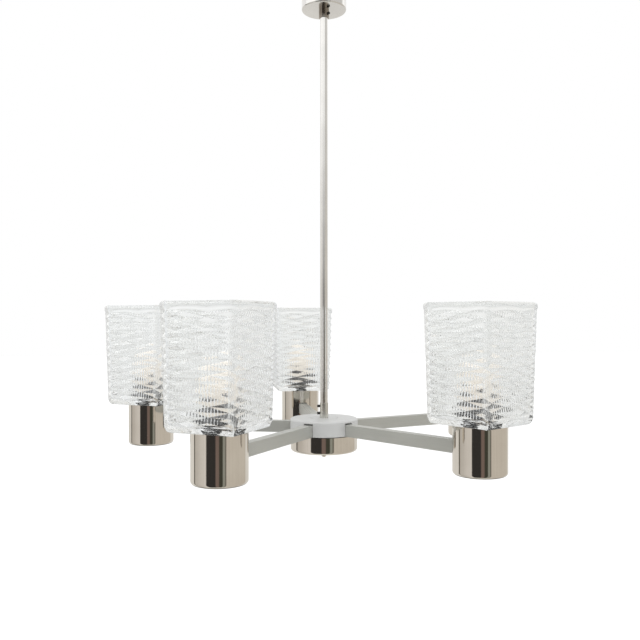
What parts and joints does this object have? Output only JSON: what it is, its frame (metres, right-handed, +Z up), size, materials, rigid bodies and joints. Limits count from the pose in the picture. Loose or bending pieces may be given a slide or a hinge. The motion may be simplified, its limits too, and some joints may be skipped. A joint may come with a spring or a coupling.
{
  "type": "multi arm chandelier",
  "caption": "Hanging lamp with radial rectangular arms on a slim stem, polished cups and square pressed-glass shades open at the top.",
  "frame": {"origin": "centre of the hanging eye that takes the ceiling hook, 20 mm below the ceiling", "axes": "+Z up along the stem; +Y through the eye and along the arm of lamp 1; lamps 2 to 5 follow anticlockwise seen from above"},
  "size_m": [0.5729, 0.5405, 0.6652],
  "materials": {
    "polished_nickel": "polished nickel plate with a warm tint",
    "satin_aluminium": "satin, silver-grey, fine brushed grain",
    "zinc_steel": "zinc-plated",
    "brass": "plain turned brass",
    "black_steel": "black oxide",
    "black_bakelite": "moulded, slightly glossy",
    "terminal_plastic": "matt cream",
    "cable_sheath": "matt",
    "pressed_glass": "clear pressed glass with star-cut relief outside and fine flutes inside",
    "opal_glass": "opal, warm white",
    "bulb_cap_metal": "bright"
  },
  "bodies": {
    "frame": {"hanging_eye": "zinc_steel", "eye_lock_nut": "zinc_steel", "ceiling_terminal_block": "terminal_plastic", "terminal_screws": "brass", "stem_tube": "polished_nickel", "stem_cable": "cable_sheath", "stem_coupler": "polished_nickel", "coupler_grub_screws": "black_steel", "hub_disc": "satin_aluminium", "hub_nipple": "zinc_steel", "clamp_plate": "zinc_steel", "arm_screws": "zinc_steel", "hub_nut": "zinc_steel", "hub_terminal_block": "terminal_plastic", "hub_cover": "polished_nickel", "cover_nut": "polished_nickel", "lamp_nipples": "zinc_steel", "lamp_nuts": "zinc_steel", "cup_nuts": "polished_nickel", "holder_contacts": "brass", "support_rings": "black_bakelite", "lamp_wires": "cable_sheath", "arm_1": "satin_aluminium", "arm_2": "satin_aluminium", "arm_3": "satin_aluminium", "arm_4": "satin_aluminium", "arm_5": "satin_aluminium", "cup_1": "polished_nickel", "cup_2": "polished_nickel", "cup_3": "polished_nickel", "cup_4": "polished_nickel", "cup_5": "polished_nickel", "lampholder_1": "black_bakelite", "lampholder_2": "black_bakelite", "lampholder_3": "black_bakelite", "lampholder_4": "black_bakelite", "lampholder_5": "black_bakelite"},
    "canopy": {"canopy": "polished_nickel", "canopy_collar": "polished_nickel", "canopy_grub_screw": "black_steel"},
    "glass_1": {"shade_1": "pressed_glass"},
    "ring_1": {"shade_ring_1": "black_bakelite"},
    "bulb_1": {"bulb_cap_1": "bulb_cap_metal", "bulb_globe_1": "opal_glass"},
    "glass_2": {"shade_2": "pressed_glass"},
    "ring_2": {"shade_ring_2": "black_bakelite"},
    "bulb_2": {"bulb_cap_2": "bulb_cap_metal", "bulb_globe_2": "opal_glass"},
    "glass_3": {"shade_3": "pressed_glass"},
    "ring_3": {"shade_ring_3": "black_bakelite"},
    "bulb_3": {"bulb_cap_3": "bulb_cap_metal", "bulb_globe_3": "opal_glass"},
    "glass_4": {"shade_4": "pressed_glass"},
    "ring_4": {"shade_ring_4": "black_bakelite"},
    "bulb_4": {"bulb_cap_4": "bulb_cap_metal", "bulb_globe_4": "opal_glass"},
    "glass_5": {"shade_5": "pressed_glass"},
    "ring_5": {"shade_ring_5": "black_bakelite"},
    "bulb_5": {"bulb_cap_5": "bulb_cap_metal", "bulb_globe_5": "opal_glass"}
  },
  "joints": [
    {"name": "canopy_slide", "type": "slide", "parent": "frame", "child": "canopy", "axis": [0, 0, -1], "range_m": [0, 0.5]},
    {"name": "shade_1_lift", "type": "slide", "parent": "frame", "child": "glass_1", "axis": [0, 0, 1], "range_m": [0, 0.06]},
    {"name": "ring_1_unscrew", "type": "slide", "parent": "glass_1", "child": "ring_1", "axis": [0, 0, 1], "range_m": [0, 0.14]},
    {"name": "bulb_1_unscrew", "type": "slide", "parent": "ring_1", "child": "bulb_1", "axis": [0, 0, 1], "range_m": [0, 0.15]},
    {"name": "shade_2_lift", "type": "slide", "parent": "frame", "child": "glass_2", "axis": [0, 0, 1], "range_m": [0, 0.06]},
    {"name": "ring_2_unscrew", "type": "slide", "parent": "glass_2", "child": "ring_2", "axis": [0, 0, 1], "range_m": [0, 0.14]},
    {"name": "bulb_2_unscrew", "type": "slide", "parent": "ring_2", "child": "bulb_2", "axis": [0, 0, 1], "range_m": [0, 0.15]},
    {"name": "shade_3_lift", "type": "slide", "parent": "frame", "child": "glass_3", "axis": [0, 0, 1], "range_m": [0, 0.06]},
    {"name": "ring_3_unscrew", "type": "slide", "parent": "glass_3", "child": "ring_3", "axis": [0, 0, 1], "range_m": [0, 0.14]},
    {"name": "bulb_3_unscrew", "type": "slide", "parent": "ring_3", "child": "bulb_3", "axis": [0, 0, 1], "range_m": [0, 0.15]},
    {"name": "shade_4_lift", "type": "slide", "parent": "frame", "child": "glass_4", "axis": [0, 0, 1], "range_m": [0, 0.06]},
    {"name": "ring_4_unscrew", "type": "slide", "parent": "glass_4", "child": "ring_4", "axis": [0, 0, 1], "range_m": [0, 0.14]},
    {"name": "bulb_4_unscrew", "type": "slide", "parent": "ring_4", "child": "bulb_4", "axis": [0, 0, 1], "range_m": [0, 0.15]},
    {"name": "shade_5_lift", "type": "slide", "parent": "frame", "child": "glass_5", "axis": [0, 0, 1], "range_m": [0, 0.06]},
    {"name": "ring_5_unscrew", "type": "slide", "parent": "glass_5", "child": "ring_5", "axis": [0, 0, 1], "range_m": [0, 0.14]},
    {"name": "bulb_5_unscrew", "type": "slide", "parent": "ring_5", "child": "bulb_5", "axis": [0, 0, 1], "range_m": [0, 0.15]}
  ]
}
